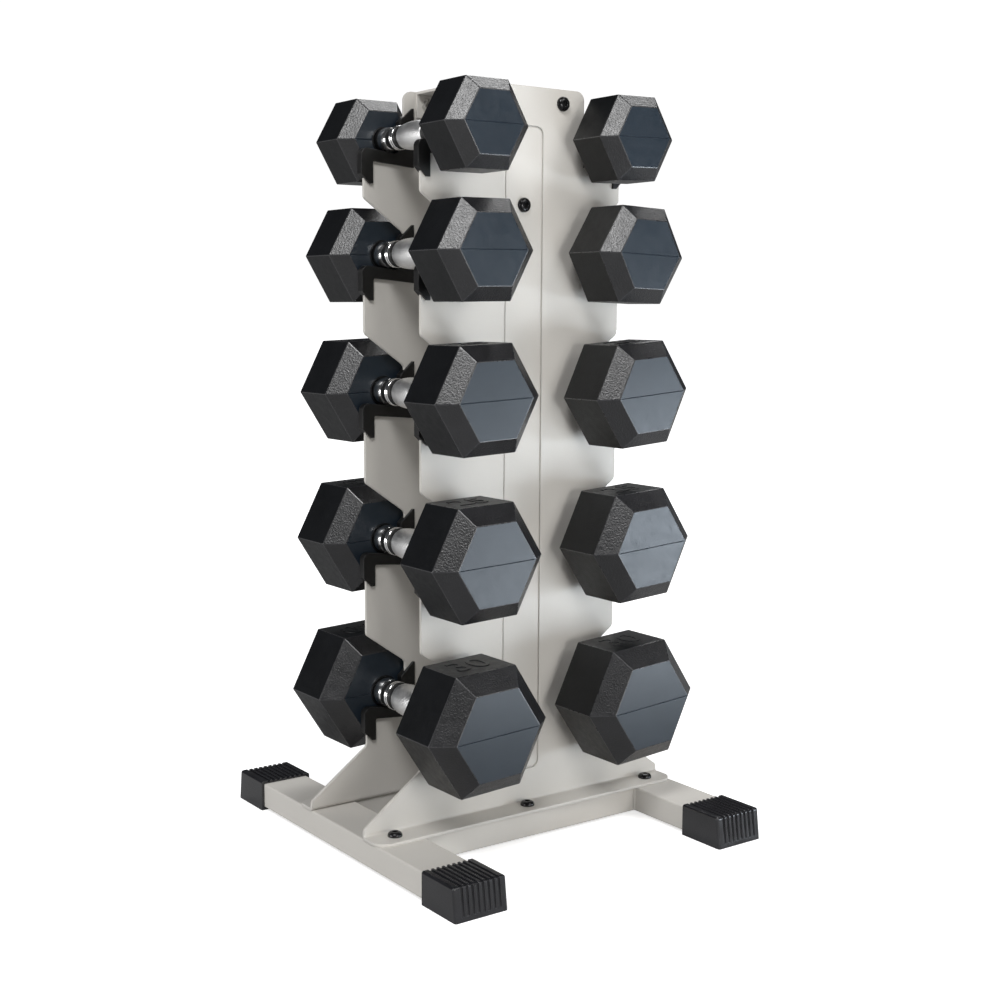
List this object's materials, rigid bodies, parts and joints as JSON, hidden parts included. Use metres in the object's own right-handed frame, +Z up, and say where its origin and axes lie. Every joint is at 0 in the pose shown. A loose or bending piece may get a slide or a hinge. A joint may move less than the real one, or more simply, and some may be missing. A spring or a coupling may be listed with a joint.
{
  "type": "dumbbell rack",
  "caption": "Free-standing rack with two notched steel uprights on a tube base, plastic saddles on its teeth, and hex dumbbells of graded sizes lying across them.",
  "frame": {"origin": "on the floor, at the middle of the rack's footprint", "axes": "+X across the rack to the right, +Y from front to back along the dumbbells and the feet, +Z up"},
  "size_m": [0.366, 0.411, 0.73],
  "materials": {
    "powder_coat": "satin powder coat",
    "cap_plastic": "moulded, slightly glossy",
    "saddle_plastic": "moulded, satin",
    "plated_steel": "zinc plated",
    "black_steel": "black oxide",
    "head_rubber": "fine-grained moulded rubber",
    "core_iron": "as cast",
    "handle_chrome": "chrome with a knurled grip"
  },
  "bodies": {
    "rack": {"front_upright": "powder_coat", "rear_upright": "powder_coat", "left_foot_tube": "powder_coat", "right_foot_tube": "powder_coat", "front_crossbar": "powder_coat", "rear_crossbar": "powder_coat", "front_left_cap": "cap_plastic", "front_right_cap": "cap_plastic", "rear_left_cap": "cap_plastic", "rear_right_cap": "cap_plastic", "top_spacer": "powder_coat", "centre_spacer": "plated_steel", "flange_bolts": "black_steel", "flange_nuts": "plated_steel", "upright_bolts": "black_steel", "upright_nuts": "plated_steel", "saddles_left_1": "saddle_plastic", "saddles_right_1": "saddle_plastic", "saddles_left_2": "saddle_plastic", "saddles_right_2": "saddle_plastic", "saddles_left_3": "saddle_plastic", "saddles_right_3": "saddle_plastic", "saddles_left_4": "saddle_plastic", "saddles_right_4": "saddle_plastic", "saddles_left_5": "saddle_plastic", "saddles_right_5": "saddle_plastic"},
    "dumbbell_left_1": {"heads_left_1": "head_rubber", "cores_left_1": "core_iron", "handle_left_1": "handle_chrome"},
    "dumbbell_right_1": {"heads_right_1": "head_rubber", "cores_right_1": "core_iron", "handle_right_1": "handle_chrome"},
    "dumbbell_left_2": {"heads_left_2": "head_rubber", "cores_left_2": "core_iron", "handle_left_2": "handle_chrome"},
    "dumbbell_right_2": {"heads_right_2": "head_rubber", "cores_right_2": "core_iron", "handle_right_2": "handle_chrome"},
    "dumbbell_left_3": {"heads_left_3": "head_rubber", "cores_left_3": "core_iron", "handle_left_3": "handle_chrome"},
    "dumbbell_right_3": {"heads_right_3": "head_rubber", "cores_right_3": "core_iron", "handle_right_3": "handle_chrome"},
    "dumbbell_left_4": {"heads_left_4": "head_rubber", "cores_left_4": "core_iron", "handle_left_4": "handle_chrome"},
    "dumbbell_right_4": {"heads_right_4": "head_rubber", "cores_right_4": "core_iron", "handle_right_4": "handle_chrome"},
    "dumbbell_left_5": {"heads_left_5": "head_rubber", "cores_left_5": "core_iron", "handle_left_5": "handle_chrome"},
    "dumbbell_right_5": {"heads_right_5": "head_rubber", "cores_right_5": "core_iron", "handle_right_5": "handle_chrome"}
  },
  "joints": [
    {"name": "lift_left_1", "type": "slide", "parent": "rack", "child": "dumbbell_left_1", "axis": [-0.9397, 0, 0.342], "range_m": [0, 0.25]},
    {"name": "lift_right_1", "type": "slide", "parent": "rack", "child": "dumbbell_right_1", "axis": [0.9397, 0, 0.342], "range_m": [0, 0.25]},
    {"name": "lift_left_2", "type": "slide", "parent": "rack", "child": "dumbbell_left_2", "axis": [-0.9397, 0, 0.342], "range_m": [0, 0.25]},
    {"name": "lift_right_2", "type": "slide", "parent": "rack", "child": "dumbbell_right_2", "axis": [0.9397, 0, 0.342], "range_m": [0, 0.25]},
    {"name": "lift_left_3", "type": "slide", "parent": "rack", "child": "dumbbell_left_3", "axis": [-0.9397, 0, 0.342], "range_m": [0, 0.25]},
    {"name": "lift_right_3", "type": "slide", "parent": "rack", "child": "dumbbell_right_3", "axis": [0.9397, 0, 0.342], "range_m": [0, 0.25]},
    {"name": "lift_left_4", "type": "slide", "parent": "rack", "child": "dumbbell_left_4", "axis": [-0.9397, 0, 0.342], "range_m": [0, 0.25]},
    {"name": "lift_right_4", "type": "slide", "parent": "rack", "child": "dumbbell_right_4", "axis": [0.9397, 0, 0.342], "range_m": [0, 0.25]},
    {"name": "lift_left_5", "type": "slide", "parent": "rack", "child": "dumbbell_left_5", "axis": [-0.9397, 0, 0.342], "range_m": [0, 0.25]},
    {"name": "lift_right_5", "type": "slide", "parent": "rack", "child": "dumbbell_right_5", "axis": [0.9397, 0, 0.342], "range_m": [0, 0.25]}
  ]
}
